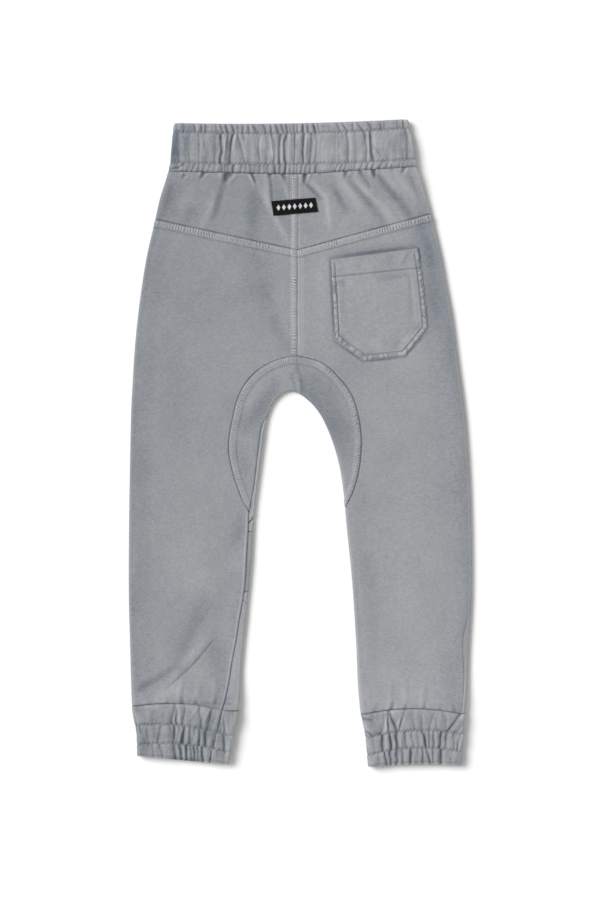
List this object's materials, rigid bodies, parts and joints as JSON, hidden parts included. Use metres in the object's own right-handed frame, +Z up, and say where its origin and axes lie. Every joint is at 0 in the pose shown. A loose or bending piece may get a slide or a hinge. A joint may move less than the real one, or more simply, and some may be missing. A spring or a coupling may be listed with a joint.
{
  "type": "joggers",
  "caption": "Child's pull-on sweatpants with a dropped crotch, gathered waistband and cuffs and a back patch pocket, laid flat with the back side up.",
  "frame": {"origin": "centre of the laid-out garment's box, on the surface it lies on", "axes": "+Y from the hems to the waist edge, +X towards the wearer's right, +Z up from the surface, out of the back side"},
  "size_m": [0.343, 0.6464, 0.0116],
  "materials": {
    "terry": "washed mid grey French terry, matt",
    "rib": "washed mid grey ribbed knit, matt",
    "label": "black woven tape, slightly glossy"
  },
  "bodies": {
    "root": {"waistband": "terry", "yoke_left": "terry", "yoke_right": "terry", "back_left": "terry", "back_right": "terry", "gusset_back": "terry", "gusset_front": "terry", "front_left": "terry", "front_right": "terry", "knee_left": "rib", "knee_right": "rib", "shin_left": "terry", "shin_right": "terry", "cuff_left": "terry", "cuff_right": "terry", "pocket": "terry", "label": "label"}
  },
  "joints": []
}
